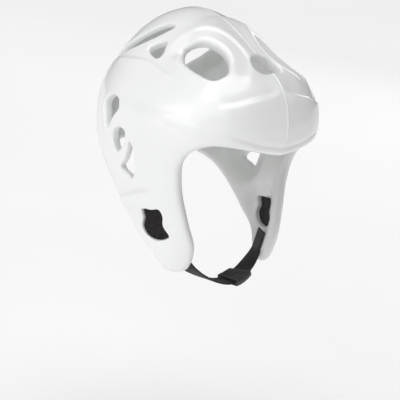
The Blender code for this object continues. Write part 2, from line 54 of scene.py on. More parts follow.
# Driving dimensions, as in the part's source. First the chart's centre, and the powers that
# shape the base form's section in front and behind, where 2 is an ellipse
CENTRE = np.array([0.0, 0.0, -85.0])
SQUARE_FRONT = 2.5
SQUARE_BACK = 2.15

# The foam wall, how far from a vent it is full again, and the lip and the inward roll of its edge
WALL = 14.0
WALL_BLEND = 18.0
EDGE_RADIUS = 5.6
EDGE_ROLL = -2.2

# The gap between pieces, and the ear cloth's depth below the base form and its thickness
PIECE_GAP = 0.3
EAR_MESH_DEPTH = 1.6
EAR_MESH_WALL = 1.6

# The strap, its gap to the inner face, and the clasp, from the middle of the strap to the left
STRAP_WIDTH = 20.0
STRAP_THICKNESS = 2.0
STRAP_SEAT = 0.95
CLASP_FROM = 4.0
CLASP_TO = 26.0
CLASP_WALL = 2.0

# Spacing of the mesh on the outer face, on the inner face and round each opening
OUTER_SPACING = 1.9
INNER_SPACING = 3.6
LOOP_SPACING = 1.9

# Fewest pieces of a closed and of an open line, pieces between its points, and steps of a lip
LEAST_ROUND = 10
LEAST_OPEN = 4
CURVE_PIECES = 10
RING_STEPS = 5

# How the mesh is evened out, in rounds, and the share of a step under which a line has folded
RELAX_ROUNDS = 3
UNFOLD_ROUNDS = 80
UNFOLD_SHARE = 0.2

# Shares of the spacing: how clear free spots and a line's even spots stay of the others, and
# how close spots lie along the middle plane. The skin's mean radius turns lengths into degrees.
FIXED_CLEAR = 0.62
ROW_CLEAR = 0.5
LINE_SHARE = 0.9
SKIN_RADIUS = 98.0

# Degrees from the right side axis to the middle plane, and the mesh's border just beyond it
SEAM = 90.0
SEAM_SAMPLES = 60
BORDER_SAMPLES = 200
BORDER_REACH = 1.02

# Degrees to each side of a spot that give its normal, and the tolerances
NORMAL_STEP = 0.25
SEAM_TOLERANCE = 1e-3
MERGE_DISTANCE = 1e-7
TINY = 1e-9

# The raised line that the mould leaves in the middle plane, and how far from it rows of spots lie
MOULD_LINE_HEIGHT = 0.42
MOULD_LINE_WIDTH = 0.5
MOULD_LINE_ROWS = (0.4, 0.8, 1.3, 2.0)

# Distance from CENTRE to the outer skin at each latitude
FORM = (
    # latitude, side, front, back
    (90, 99.0, 99.0, 99.0),
    (75, 97.0, 93.0, 105.5),
    (60, 88.0, 90.0, 109.0),
    (45, 84.0, 93.0, 110.0),
    (30, 88.0, 102.5, 107.0),
    (15, 94.0, 104.0, 104.5),
    (0, 92.5, 102.5, 104.5),
    (-15, 90.0, 101.0, 107.0),
    (-30, 95.5, 107.0, 110.0),
    (-45, 113.0, 125.0, 117.0),
    (-60, 146.0, 156.0, 131.0),
    (-75, 190.0, 196.0, 152.0),
)

# The edge of the right half, from the middle of the brow to the middle of the nape
EDGE = (
    # forward, up
    (89.7, -7.6),
    (76, -4.5),
    (60, -1.5),
    (48.2, -1.9),
    (40.3, -6),
    (33.1, -15),
    (31.3, -30),
    (33.4, -46),
    (34.1, -55),
    (29.1, -61.2),
    (20.8, -61.8),
    (10.2, -55.4),
    (-10.6, -43.9),
    (-34, -33),
    (-60, -30),
    (-83.7, -33),
)

# Each vent of the right half, anticlockwise on the chart
VENTS = (
    # name, wall at its lip, outer and inner lip radius, height of its rim, points (forward, up)
    ("crown", 9.0, 4.5, 2.0, 2.6,
     ((5.5, 56.5), (11.5, 48.2), (21.5, 43), (31, 39.3), (41, 37.3), (45, 43), (42.8, 52.3),
      (34, 62.2), (24.4, 64.4), (14.2, 63))),
    ("teardrop", 8.0, 2.5, 2.5, 0.6,
     ((-22, 47.8), (-14, 44.2), (-8, 44.9), (-7.8, 48), (-9.6, 52.3), (-11.3, 56), (-17.6, 53.8))),
    ("crown slot", 6.0, 2.2, 2.2, 0.0,
     ((-16.5, 66.6), (-20.5, 66.8), (-27.6, 63.4), (-34.8, 56.8), (-43.2, 47), (-53, 36),
      (-61.5, 26), (-60.5, 23.6), (-51, 28.8), (-42.3, 37), (-28.6, 51.4), (-20.6, 60.7))),
    ("rear top", 7.0, 2.2, 2.2, 0.6,
     ((-25.8, 7.6), (-24.5, 2.4), (-23.5, -6), (-15.7, 3), (-12.2, 7.5), (-13.3, 11), (-20, 13.1))),
    ("rear middle", 7.0, 2.2, 2.2, 0.6,
     ((-15.6, -6), (-18, -12.5), (-15.4, -18.5), (-10, -15.3), (-6.2, -9.7), (-6.4, -4.4),
      (-10.4, -3.4))),
    ("rear low", 7.0, 2.2, 2.2, 0.6,
     ((-7.6, -22.8), (-10.8, -27), (-5.4, -29.2), (-0.4, -30.4), (1.2, -25.6), (1.2, -17.8),
      (-2.2, -9.8), (-4.6, -16.8))),
    ("ear", 8.0, 1.4, 2.2, 0.8,
     ((9.5, -45.5), (8.6, -48.4), (10.2, -50.4), (14.3, -51.8), (20.4, -51.5), (23.8, -50.2),
      (20.9, -46.4), (21.1, -43), (19.7, -41.2), (14.5, -41.8), (8.2, -43.1))),
)

# The right half of the vent over the forehead, from its top to its bottom on the seam
FRONT_VENT = ("front", 8.0, 2.5, 2.5, 0.8,
              ((52.6, 73.03), (51.6, 66.3), (54.8, 59.5), (59.9, 54), (64.8, 53.6), (69, 57.78)))

# How far the raised rim of a vent reaches
RIM_REACH = 11.0

# Moulded steps and ribs. Heights stand proud of the base form and fade out over their reach.
# The brow lip is a sharp crease here, and a plain low step in the part, whose facets are wide.
RELIEF = (
    # name, height and reach left of the line, height and reach right of it, points (forward, up)
    ("vent ring", 1.6, 9.0, 0.4, 9.0,
     ((-3, 50), (-3, 58), (1, 65), (9, 72), (22, 76), (37, 73), (49, 65), (56, 52), (55, 38))),
    ("crown dish", -3.6, 7.0, -3.6, 7.0, ((5, 45), (4, 52), (5.5, 59), (11, 66))),
    ("rear crease", -0.5, 6.0, 1.2, 9.0, ((-46, 32), (-31, 36), (-12, 40), (4, 37.5), (18, 33))),
    ("side rib low", 0.8, 9.0, -0.3, 9.0, ((4, 5), (13, 8.5), (26, 7.5), (35, 4.5), (45, 4))),
    ("side rib high", -0.3, 9.0, 0.6, 9.0, ((16, 13), (31, 12.5), (42, 8.5), (54, 7))),
    ("ear cup", -0.9, 7.0, 1.6, 13.0, ((-16, -44), (-8, -40.5), (0, -37.5), (9, -34.5), (20, -34))),
    ("brow ledge", -1.4, 11.0, 1.6, 11.0,
     ((46, 21), (57, 25.5), (63, 29.8), (69, 34), (75, 39.2), (78.5, 44))),
    ("brow lip", -1.6, 2.8, -1.6, 2.0,
     ((54, 6.6), (58, 6), (62.6, 5.2), (67.5, 3.9), (72.6, 2.3), (79.8, 1), (89.9, 0.2),
      (99, 0.2))),
    ("rear lip", 1.6, 5.0, 0.2, 6.0, ((-25, 15), (-28, 6), (-27, -6), (-22, -17), (-19, -27))),
)

# Half the width in which a line's left side turns into its right one, and the fade of its ends
RELIEF_SOFT = 2.5
RELIEF_END = 14.0

# The blunt keel along the middle plane, which stands on a shallow flat. Angles that lie
# further down than KEEL_LAST are counted on over the back.
KEEL = (
    # degrees up from straight ahead, share of its full height
    (0, 1.0),
    (35, 0.9),
    (60, 0.5),
    (100, 0.3),
    (150, 0.0),
)
KEEL_LAST = -90.0
KEEL_HEIGHT = 2.6
KEEL_REACH = 18.0
FLAT_DEPTH = 1.0
FLAT_REACH = 60.0

# The chin strap's way on the inside of the right flap, and its lowest point from there
STRAP_ON_FLAP = ((26.5, -53), (25.3, -56), (24.2, -59))
CHIN_DROP = 24.0
CHIN_FORWARD = 12.0

# How far the strap keeps its direction at the flap and under the chin, and its mesh stations
STRAP_BEND = 24.0
CHIN_WIDTH = 62.0
STRAP_STATIONS = 170
FLAP_STATIONS = 10

# The ear cloth: shares of its outline where its rings lie, and how far and how fast its edge sinks
PATCH_SHARES = (1.0, 0.94, 0.86, 0.75, 0.6, 0.4, 0.2)
PATCH_SINK = 0.4
PATCH_RISE = 4.0

# The threads that cross on the ear cloth, with the fewest steps of one that is kept
THREAD_PITCH = 1.5
THREAD_RADIUS = 0.42
THREAD_LIFT = 0.34
THREAD_STEPS = 4
THREAD_LEAST = 2 * THREAD_STEPS
THREAD_SIDES = 6
THREAD_TURNS = np.arange(THREAD_SIDES) * 2 * pi / THREAD_SIDES

# The webbing: the power that rounds its section, its least thickness, and its herringbone ribs
STRAP_COLUMNS = 26
BAND_POWER = 10
BAND_EDGE = 0.12
RIB_LIFT = 0.12
RIB_PITCH = 2.0
HERRINGBONE = 3.3
SELVEDGE = 1.6

# The clasp's mesh, its rounding and its grip ribs, which start a little way from its ends
CLASP_STEP = 0.4
CLASP_ROUND = 1.2
CLASP_CORNER = 1.3
HOLE_CORNER = 0.6
CORNER_STEPS = 4
GRIP_PITCH = 2.4
GRIP_LIFT = 0.4
GRIP_FROM = 4.0

# Colours of the skin, and painted shade: the darker colour of the inner face and deep recesses, and
# the depth below the base form over which it sets in
SKIN_WHITE = (0.90, 0.91, 0.90)
SKIN_SHADE = (0.86, 0.875, 0.865)
SKIN_PAINTED_SHADE = (0.72, 0.73, 0.72)
PAINTED_SHADE_FROM = 2.0
PAINTED_SHADE_REACH = 8.0

# The black cloths: name, darkest and lightest colour, where the lighter mottling is dust and partly
# painted glints on the knit, scale of that mottling, roughness
FABRIC = ("black_mesh_fabric", ((0.004, 0.003, 0.003), (0.045, 0.034, 0.036)), 380.0, 0.8)
WEBBING = ("black_webbing", ((0.006, 0.006, 0.007), (0.016, 0.016, 0.017)), 220.0, 0.7)
PLASTIC_BLACKS = ((0.014, 0.014, 0.015), (0.03, 0.03, 0.031))
SHEET_WHITES = ((0.93, 0.93, 0.93), (0.95, 0.95, 0.95))
WHITE = (1.0, 1.0, 1.0, 1.0)

# Patterns of noise: clouds to the metre, detail, roughness
SKIN_CLOUDS = (14.0, 4.0, 0.5)
SKIN_SMEARS = (45.0, 5.0, 0.6)
SKIN_WAVES = (70.0, 2.0, 0.5)
SKIN_PEEL = (900.0, 3.0, 0.5)
PLASTIC_CLOUDS = (120.0, 4.0, 0.5)
PLASTIC_GRAIN = (2500.0, 2.0, 0.5)
SHEET_CLOUDS = (3.0, 3.0, 0.5)

# Detail and roughness of a cloth's mottling of dust and painted glints, and of its fibres, which
# are finer by a factor
DUST_AND_GLINTS = (6.0, 0.7)
FIBRES = (3.0, 0.5)
FIBRES_FINER = 12

# Strength and depth of each pattern's bumps
WAVE_BUMP = (0.25, 0.0006)
PEEL_BUMP = (0.12, 0.00015)
FIBRE_BUMP = (0.5, 0.0001)
GRAIN_BUMP = (0.4, 0.00008)

# The span of a pattern's values that colours or roughness follow, and roughness over it
CLOUD_SPAN = (0.3, 0.7)
DUST_AND_GLINT_SPAN = (0.42, 0.7)
WHOLE_SPAN = (0.0, 1.0)
SKIN_GLOSS = (0.3, 0.42)
PLASTIC_GLOSS = (0.32, 0.5)
CLOTH_SWING = 0.1

# Settings of each material's shader
SHEET_GLOW = 0.12
SKIN_FINISH = {"Coat Weight": 0.8, "Coat Roughness": 0.07, "IOR": 1.48}
CLOTH_FINISH = {"Sheen Weight": 0.08, "Sheen Roughness": 0.4}
SHEET_FINISH = {"Roughness": 0.9, "Emission Color": WHITE, "Emission Strength": SHEET_GLOW}

# The photograph's camera: angles in degrees, what it aims at, and where that lies in the picture
CAMERA_AZIMUTH = -46.0
CAMERA_HEIGHT = 12.0
CAMERA_ROLL = 8.0
CAMERA_DISTANCE = 1800.0
CAMERA_AIM = (0.0, -6.5, -103.0)
AIM_PIXEL = (207, 142)
IMAGE_SIDE = 400
PIXELS_PER_MM = 1.08
SENSOR = 36.0

# The studio: its floor, and how strong its even light is and how bright the camera sees it
FLOOR_Z = -0.42
FLOOR_SIDE = 30.0
WORLD_STRENGTH = 0.18
HORIZON_TONE = 0.94
SUN_DISTANCE = 3.0
SOFT_BOXES = (
    # name, azimuth and height in degrees, distance, side, power
    ("side", -100, 16, 2.6, 1.5, 9.4),
    ("low", -55, 4, 2.4, 2.2, 5.0),
    ("rim", 118, 14, 2.4, 0.6, 1.7),
)
SUNS = (
    # name, azimuth, height and spread in degrees, strength
    ("overhead", -50, 80, 60, 1.68),
    ("key", -80, 33, 50, 0.64),
)


def smooth(t):
    """Ease from 0 to 1."""
    t = np.clip(t, 0.0, 1.0)
    return t * t * (3.0 - 2.0 * t)


def spline(knots, values, at):
    """Natural cubic spline through (knots, values), with rising knots."""
    step = np.diff(knots)
    count = len(knots)
    matrix = np.eye(count)
    right = np.zeros(count)
    for i in range(1, count - 1):
        matrix[i, i - 1:i + 2] = step[i - 1], 2 * (step[i - 1] + step[i]), step[i]
        right[i] = 6 * ((values[i + 1] - values[i]) / step[i]
                        - (values[i] - values[i - 1]) / step[i - 1])
    bend = np.linalg.solve(matrix, right)
    i = np.clip(np.searchsorted(knots, at) - 1, 0, count - 2)
    before = at - knots[i]
    after = knots[i + 1] - at
    bent = (bend[i] * after ** 3 + bend[i + 1] * before ** 3) / (6 * step[i])
    low = values[i] / step[i] - bend[i] * step[i] / 6
    high = values[i + 1] / step[i] - bend[i + 1] * step[i] / 6
    return bent + low * after + high * before


def direction(spot):
    """Unit vectors of chart spots, in degrees forward and up."""
    turn = np.radians(np.hypot(spot[:, 0], spot[:, 1]))
    lean = np.arctan2(spot[:, 1], spot[:, 0])
    return np.stack([-np.cos(turn), -np.sin(turn) * np.cos(lean), np.sin(turn) * np.sin(lean)], 1)


def chart(points):
    """Chart spots of 3-D points, the other way round."""
    ray = points - CENTRE
    ray = ray / np.linalg.norm(ray, axis=1)[:, None]
    turn = np.degrees(np.arccos(np.clip(-ray[:, 0], -1, 1)))
    flat = np.maximum(np.hypot(ray[:, 1], ray[:, 2]), TINY)
    return np.stack([-turn * ray[:, 1] / flat, turn * ray[:, 2] / flat], 1)


def base(spot):
    """Points of the outer skin before any relief."""
    ray = direction(spot)
    latitude = np.degrees(np.arcsin(np.clip(ray[:, 2], -1, 1)))
    bearing = np.arctan2(np.abs(ray[:, 0]), -ray[:, 1])
    table = np.array(FORM[::-1], float)
    side, front, back = (spline(table[:, 0], table[:, k], latitude) for k in (1, 2, 3))
    ahead = np.cos(bearing)
    square = SQUARE_BACK + (SQUARE_FRONT - SQUARE_BACK) * smooth(0.5 + 0.5 * ahead)
    power = 2 + (square - 2) * np.cos(np.radians(latitude)) ** 2
    reach = np.where(ahead > 0, front, back)
    flat = (np.abs(ahead) / reach) ** power + (np.sin(bearing) / side) ** power
    return CENTRE + ray * (flat ** (-1 / power))[:, None]


def normal(spot):
    """Unit normals of the base form, pointing out."""
    ahead = base(spot + (NORMAL_STEP, 0)) - base(spot - (NORMAL_STEP, 0))
    above = base(spot + (0, NORMAL_STEP)) - base(spot - (0, NORMAL_STEP))
    out = np.cross(ahead, above)
    out[on_seam(spot), 0] = 0.0
    return unit(out)


def on_seam(spot):
    """Which spots lie in the middle plane."""
    return np.hypot(spot[:, 0], spot[:, 1]) > SEAM - SEAM_TOLERANCE


def to_seam(spot):
    """Move spots onto the middle plane."""
    return spot * (SEAM / np.hypot(spot[..., 0], spot[..., 1]))[..., None]


def across(spot):
    """The mirror image of a spot on the far side of the middle plane."""
    turn = np.hypot(*spot)
    return np.asarray(spot, float) * (2 * SEAM - turn) / turn


def hermite(t, start, end, start_way, end_way):
    """Points of the cubic curve that leaves its start and meets its end in given directions."""
    return ((2 * t ** 3 - 3 * t ** 2 + 1) * start + (3 * t ** 2 - 2 * t ** 3) * end
            + (t ** 3 - 2 * t ** 2 + t) * start_way + (t ** 3 - t ** 2) * end_way)


def curve(points, kind, pieces=CURVE_PIECES):
    """Smooth curve through points. Its kind is closed, open or seam (its ends meet the seam)."""
    points = np.array(points, float)
    if kind == "closed":
        points = np.vstack([points[-1:], points, points[:2]])
    elif kind == "seam":
        points[[0, -1]] = to_seam(points[[0, -1]])
        points = np.vstack([across(points[1]), points, across(points[-2])])
    else:
        points = np.vstack([2 * points[0] - points[1], points, 2 * points[-1] - points[-2]])
    step = np.linalg.norm(np.diff(points, axis=0), axis=1)
    slope = np.diff(points, axis=0) / step[:, None]
    lean = slope[1:] * step[:-1, None] + slope[:-1] * step[1:, None]
    lean = lean / (step[:-1] + step[1:])[:, None]
    t = np.linspace(0, 1, pieces, endpoint=False)[:, None]
    rows = np.vstack([hermite(t, points[i], points[i + 1], step[i] * lean[i - 1], step[i] * lean[i])
                      for i in range(1, len(lean))])
    return rows if kind == "closed" else np.vstack([rows, points[-2:-1]])


def even(spots, gap, closed, extra=()):
    """Spots spread along a curve, about a gap apart on the skin, with extra ones near its ends."""
    ring = np.vstack([spots, spots[:1]]) if closed else spots
    along = np.concatenate([[0], np.cumsum(np.linalg.norm(np.diff(base(ring), axis=0), axis=1))])
    total = along[-1]
    least = LEAST_ROUND if closed else LEAST_OPEN
    at = np.linspace(0, total, max(int(round(total / gap)), least) + 1)
    if extra:
        added = np.concatenate([extra, total - np.array(extra)])
        apart = np.abs(at[:, None] - added).min(1) > ROW_CLEAR * gap
        apart[[0, -1]] = True
        at = np.sort(np.concatenate([at[apart], added]))
    found = np.stack([np.interp(at, along, ring[:, k]) for k in (0, 1)], 1)
    return found[:-1] if closed else found


def shifted(spots, distance, closed):
    """Move a line of spots to its right along the skin. An open line keeps its ends on the seam."""
    points = base(spots)
    if closed:
        way = np.roll(points, -1, 0) - np.roll(points, 1, 0)
    else:
        way = np.gradient(points, axis=0)
        way[[0, -1]] *= (1, 0, 0)
    found = chart(points + distance * unit(np.cross(way, normal(spots))))
    if not closed:
        found[[0, -1]] = to_seam(found[[0, -1]])
    return found


def unit(rows):
    """Each row scaled to length one."""
    return rows / np.linalg.norm(rows, axis=1)[:, None]


def distance_to(line, points):
    """For each point its distance and offset from a 3-D line, the line's direction, the place
    along it, and its length."""
    start, step = line[:-1], np.diff(line, axis=0)
    length = np.linalg.norm(step, axis=1)
    along = np.concatenate([[0], np.cumsum(length)])
    best = np.full(len(points), np.inf)
    place = np.zeros(len(points))
    offset = np.zeros((len(points), 3))
    way = np.zeros((len(points), 3))
    for i in range(len(step)):
        t = np.clip((points - start[i]) @ step[i] / length[i] ** 2, 0, 1)
        gap = points - start[i] - t[:, None] * step[i]
        far = np.linalg.norm(gap, axis=1)
        near = far < best
        best[near] = far[near]
        place[near] = along[i] + t[near] * length[i]
        offset[near] = gap[near]
        way[near] = step[i] / length[i]
    return best, offset, way, place, along[-1]


def keel(points):
    """Height of the keel where the two halves of the brow and crown meet."""
    up = np.degrees(np.arctan2(points[:, 2] - CENTRE[2], -points[:, 1]))
    up = np.where(up < KEEL_LAST, up + 360, up)
    angles, shares = np.array(KEEL, float).T
    off = np.abs(points[:, 0])
    rise = KEEL_HEIGHT * np.exp(-off / KEEL_REACH) - FLAT_DEPTH * np.exp(-(off / FLAT_REACH) ** 2)
    return np.interp(up, angles, shares) * rise


def mould_line(points):
    """Height of the thin raised line in the middle plane."""
    return MOULD_LINE_HEIGHT * np.exp(-(points[:, 0] / MOULD_LINE_WIDTH) ** 2)


def relief(spot, loops):
    """Height of the skin above the base form: the keel, the vents' rims and the moulded steps."""
    points, out = base(spot), normal(spot)
    height = keel(points)
    for loop in loops:
        if loop["rim"]:
            far = distance_to(base(around(loop)), points)[0]
            height += loop["rim"] * np.exp(-(far / RIM_REACH) ** 2)
    for _, left, left_reach, right, right_reach, line in RELIEF:
        far, offset, way, place, total = distance_to(base(curve(line, "open")), points)
        to_right = np.einsum("ij,ij->i", np.cross(way, out), offset)
        mix = smooth(0.5 + to_right / (2 * RELIEF_SOFT))
        fade = smooth(np.minimum(place, total - place) / RELIEF_END)
        rise = left * np.exp(-(far / left_reach) ** 2) * (1 - mix)
        rise += right * np.exp(-(far / right_reach) ** 2) * mix
        height += rise * fade
    return height


def around(loop):
    """The spots of a loop, back to its first one if it is closed."""
    return np.vstack([loop["spots"], loop["spots"][:1]]) if loop["closed"] else loop["spots"]


def thickness(spot, loops):
    """Foam thickness: full, but thinner towards each vent's lip."""
    points = base(spot)
    wall = np.full(len(spot), WALL)
    for loop in loops:
        if loop["wall"] < WALL:
            far = distance_to(base(around(loop)), points)[0]
            wall = np.minimum(wall, loop["wall"] + (WALL - loop["wall"]) * smooth(far / WALL_BLEND))
    return wall


def make_loops():
    """The edge and the vents, as even lines of spots with their wall and lip radii."""
    rows = [("edge", WALL, EDGE_RADIUS, EDGE_RADIUS, EDGE_ROLL, EDGE, "seam"),
            FRONT_VENT + ("seam",)]
    rows += [vent + ("closed",) for vent in VENTS]
    loops = []
    for name, wall, outer, inner, rim, points, kind in rows:
        closed = kind == "closed"
        line = curve(points, kind)
        spots = even(line, LOOP_SPACING, closed, () if closed else MOULD_LINE_ROWS)
        loops.append({"name": name, "wall": wall, "outer": outer, "inner": inner, "rim": rim,
                      "closed": closed, "spots": spots})
    return loops


def inside(spots, polygon):
    """Which spots lie inside a closed polygon."""
    found = np.zeros(len(spots), bool)
    last = polygon[-1]
    for this in polygon:
        crosses = (this[1] > spots[:, 1]) != (last[1] > spots[:, 1])
        rise = (last[1] - this[1]) or 1.0
        cut = (last[0] - this[0]) * (spots[:, 1] - this[1]) / rise + this[0]
        found ^= crosses & (spots[:, 0] < cut)
        last = this
    return found


def seam_spots(low, high, gap):
    """Spots on the middle plane between two angles, ends left out."""
    angles = np.linspace(low, high, SEAM_SAMPLES)
    spots = SEAM * np.stack([np.cos(angles), np.sin(angles)], 1)
    return to_seam(even(spots, gap, False)[1:-1])


def free_spots(fixed, gap, keep, seam_band):
    """Spots in rings round the side axis, a gap apart, clear of the fixed ones and of the seam."""
    step = np.degrees(gap / SKIN_RADIUS)
    limit = SEAM - np.degrees(seam_band / SKIN_RADIUS) - 0.5 * step
    rings = []
    for k, turn in enumerate(np.arange(0.0, limit, step * 3 ** 0.5 / 2)):
        count = max(int(2 * pi * np.degrees(sin(radians(turn))) / step), 1)
        angle = 2 * pi * (np.arange(count) + 0.5 * (k % 2)) / count
        rings.append(turn * np.stack([np.cos(angle), np.sin(angle)], 1))
    spots = np.vstack(rings)
    spots = spots[keep(spots)]
    tree = KDTree(len(fixed))
    for i, point in enumerate(base(fixed)):
        tree.insert(point, i)
    tree.balance()
    far = np.array([tree.find(point)[2] for point in base(spots)])
    return spots[far > FIXED_CLEAR * gap]


def triangulate(spots, edges, keep):
    """Constrained Delaunay triangles whose middles pass keep()."""
    corners = [Vector((float(u), float(v))) for u, v in spots]
    found = delaunay_2d_cdt(corners, edges, [], 0, MERGE_DISTANCE)
    if len(found[0]) != len(spots):
        raise RuntimeError("the lines of the shell cross each other")
    faces = np.array(found[2], int)
    order = np.array([source[0] for source in found[3]], int)
    faces = order[faces]
    a, b, c = (spots[faces[:, k]] for k in range(3))
    turn = ((b[:, 0] - a[:, 0]) * (c[:, 1] - a[:, 1])
            - (b[:, 1] - a[:, 1]) * (c[:, 0] - a[:, 0]))
    faces[turn < 0] = faces[turn < 0][:, ::-1]
    return faces[(np.abs(turn) > TINY) & keep((a + b + c) / 3)]


def relaxed(spots, edges, keep, first_free):
    """Spots and their triangles, with the free ones eased to the middle of their neighbours."""
    for _ in range(RELAX_ROUNDS):
        faces = triangulate(spots, edges, keep)
        total = np.zeros_like(spots)
        count = np.zeros(len(spots))
        for i, j in ((0, 1), (1, 2), (2, 0)):
            np.add.at(total, faces[:, i], spots[faces[:, j]])
            np.add.at(total, faces[:, j], spots[faces[:, i]])
            np.add.at(count, faces[:, i], 1)
            np.add.at(count, faces[:, j], 1)
        free = (np.arange(len(spots)) >= first_free) & (count > 0)
        spots[free] = total[free] / count[free, None]
    return spots, triangulate(spots, edges, keep)


def unfolded(line, before, closed):
    """A shifted line, eased apart where it would fold over itself in a hollow bend."""
    line = line.copy()
    for _ in range(UNFOLD_ROUNDS):
        step, was = np.roll(line, -1, 0) - line, np.roll(before, -1, 0) - before
        tight = (step * was).sum(1) < UNFOLD_SHARE * (was * was).sum(1)
        if not closed:
            tight[-1] = False
        if not tight.any():
            break
        ease = tight | np.roll(tight, 1) | np.roll(tight, -1) | np.roll(tight, 2)
        if not closed:
            ease[[0, -1]] = False
        middle = (np.roll(line, 1, 0) + np.roll(line, -1, 0)) / 2
        line[ease] = middle[ease]
    return line


def lip_rings(loop, radius):
    """Lines of spots across a loop's quarter-round lip, from its wall out, and how far each
    lies down."""
    closed, line = loop["closed"], loop["spots"]
    rows = [(line, radius)]
    for k in range(1, RING_STEPS + 1):
        last, angle = 0.5 * pi * (k - 1) / RING_STEPS, 0.5 * pi * k / RING_STEPS
        moved = shifted(line, radius * (cos(last) - cos(angle)), closed)
        line = unfolded(moved, line, closed)
        rows.append((line, radius * (1 - sin(angle))))
    return rows


def seam_angle(spot):
    """Angle of a spot round the middle plane: 0 straight ahead, and rising over the crown."""
    return np.arctan2(spot[1], spot[0])


def middle_spots(edge, vent, gap):
    """Spots in the middle plane: the brow below the front vent, and from it to the nape."""
    brow, nape = seam_angle(edge[0]), seam_angle(edge[-1]) + 2 * pi
    top, bottom = seam_angle(vent[0]), seam_angle(vent[-1])
    return np.vstack([seam_spots(brow, bottom, gap), seam_spots(top, nape, gap)])


def beside_seam(spots, distance):
    """Spots moved off the middle plane by a distance on the skin."""
    reach = np.linalg.norm(base(spots) - CENTRE, axis=1)
    return spots * (1 - np.degrees(distance / reach) / SEAM)[:, None]


def skin_test(lines):
    """A test of which spots lie inside the first line, the edge, and outside the vents' lines."""
    edge = lines[0]
    angles = np.linspace(seam_angle(edge[-1]) + 2 * pi, seam_angle(edge[0]), BORDER_SAMPLES)
    beyond = BORDER_REACH * SEAM * np.stack([np.cos(angles), np.sin(angles)], 1)
    border = np.vstack([edge, beyond])

    def keep(found):
        good = inside(found, border)
        for line in lines[1:]:
            good &= ~inside(found, line)
        return good

    return keep


def make_sheet(loops, side, spacing, seam_rows):
    """One face of the right half: spots, lip drops, triangles and where each loop starts."""
    spots, drops, edges, starts, last = [], [], [], [], []
    count = 0
    for loop in loops:
        starts.append(count)
        for line, drop in lip_rings(loop, loop[side]):
            number = len(line)
            spots.append(line)
            drops.append(np.full(number, drop))
            edges += [(count + i, count + i + 1) for i in range(number - 1)]
            if loop["closed"]:
                edges.append((count + number - 1, count))
            count += number
        last.append(line)
    middle = middle_spots(last[0], last[1], spacing * LINE_SHARE)
    spots += [middle] + [beside_seam(middle, row) for row in seam_rows]
    fixed = np.vstack(spots)
    free = free_spots(fixed, spacing, skin_test(last), max(seam_rows, default=0.0))
    keep = skin_test([loop["spots"] for loop in loops])
    all_spots, faces = relaxed(np.vstack([fixed, free]), edges, keep, len(fixed))
    drops = np.concatenate(drops)
    drops = np.pad(drops, (0, len(all_spots) - len(drops)))
    return all_spots, drops, faces, starts


def sheet_points(spots, drop, loops, face):
    """3-D points of a face: the outer one stands on the base form, the inner one a wall below."""
    points = base(spots)
    if face == "outer":
        height = relief(spots, loops) + mould_line(points) - drop
    else:
        height = drop - thickness(spots, loops)
    points = points + normal(spots) * height[:, None]
    points[on_seam(spots), 0] = 0.0
    return points


def shell_mesh():
    """Points and triangles of the whole shell."""
    loops = make_loops()
    spots, drops, outer_faces, outer_starts = make_sheet(
        loops, "outer", OUTER_SPACING, MOULD_LINE_ROWS)
    outer = sheet_points(spots, drops, loops, "outer")
    spots, drops, inner_faces, inner_starts = make_sheet(loops, "inner", INNER_SPACING, ())
    inner = sheet_points(spots, drops, loops, "inner")
    points = np.vstack([outer, inner])
    shift = len(outer)
    faces = [tuple(face) for face in outer_faces]
    faces += [tuple(face[::-1] + shift) for face in inner_faces]
    for loop, outer_start, inner_start in zip(loops, outer_starts, inner_starts):
        faces += band_faces(outer_start, inner_start + shift, len(loop["spots"]), loop["closed"])
    return mirrored(points, faces)


def mirrored(points, faces):
    """Add the left half, sharing the points of the middle plane."""
    count = len(points)
    middle = points[:, 0] == 0.0
    partner = np.arange(count)
    partner[~middle] = count + np.arange((~middle).sum())
    flipped = points[~middle] * (-1, 1, 1)
    faces = [tuple(int(i) for i in face) for face in faces]
    faces += [tuple(int(partner[i]) for i in face[::-1]) for face in faces]
    return np.vstack([points, flipped]), faces


def patch_mesh(loop, depth, wall):
    """A thin closed cloth that fills a vent, a small gap inside its wall, with a soft edge."""
    outline = shifted(loop["spots"], -PIECE_GAP, True)
    number = len(outline)
    middle = outline.mean(0)
    rings = [middle + (outline - middle) * share for share in PATCH_SHARES] + [middle[None]]
    flat = np.vstack(rings)
    edges = [(i, (i + 1) % number) for i in range(number)]
    faces = triangulate(flat, edges, lambda found: inside(found, outline))
    crown = np.concatenate([np.full(len(ring), smooth(PATCH_RISE * (1.0 - share)))
                            for ring, share in zip(rings, PATCH_SHARES + (0.0,))])
    top = base(flat) - normal(flat) * (depth + PATCH_SINK * (1.0 - crown))[:, None]
    bottom = base(flat) - normal(flat) * (depth + wall)
    shift = len(flat)
    solid = [tuple(face) for face in faces] + [tuple(face[::-1] + shift) for face in faces]
    solid += band_faces(0, shift, number, flip=True)
    return np.vstack([top, bottom]), [tuple(int(i) for i in face) for face in solid]


def thread_runs(loop, along):
    """Chart spots of each thread of one direction, cut off inside the ear opening."""
    outline = shifted(loop["spots"], -PIECE_GAP - THREAD_RADIUS, True)
    low, high = outline.min(0), outline.max(0)
    pitch = np.degrees(THREAD_PITCH / np.linalg.norm(base(outline.mean(0)[None])[0] - CENTRE))
    count = int((high - low)[1 - along] / pitch) + 1
    runs = []
    for k in range(count):
        line = np.empty((int((high - low)[along] / pitch * THREAD_STEPS) + 1, 2))
        line[:, along] = low[along] + pitch / THREAD_STEPS * np.arange(len(line))
        line[:, 1 - along] = low[1 - along] + pitch * (k + 0.5)
        wave = THREAD_LIFT * np.sin(pi * ((line[:, along] - low[along]) / pitch + k + along))
        good = inside(line, outline)
        runs += [(line[run], wave[run]) for run in spans(good) if len(run) > THREAD_LEAST]
    return runs


def spans(good):
    """The runs of neighbouring places where good holds."""
    places = np.where(good)[0]
    return np.split(places, np.where(np.diff(places) > 1)[0] + 1) if len(places) else []


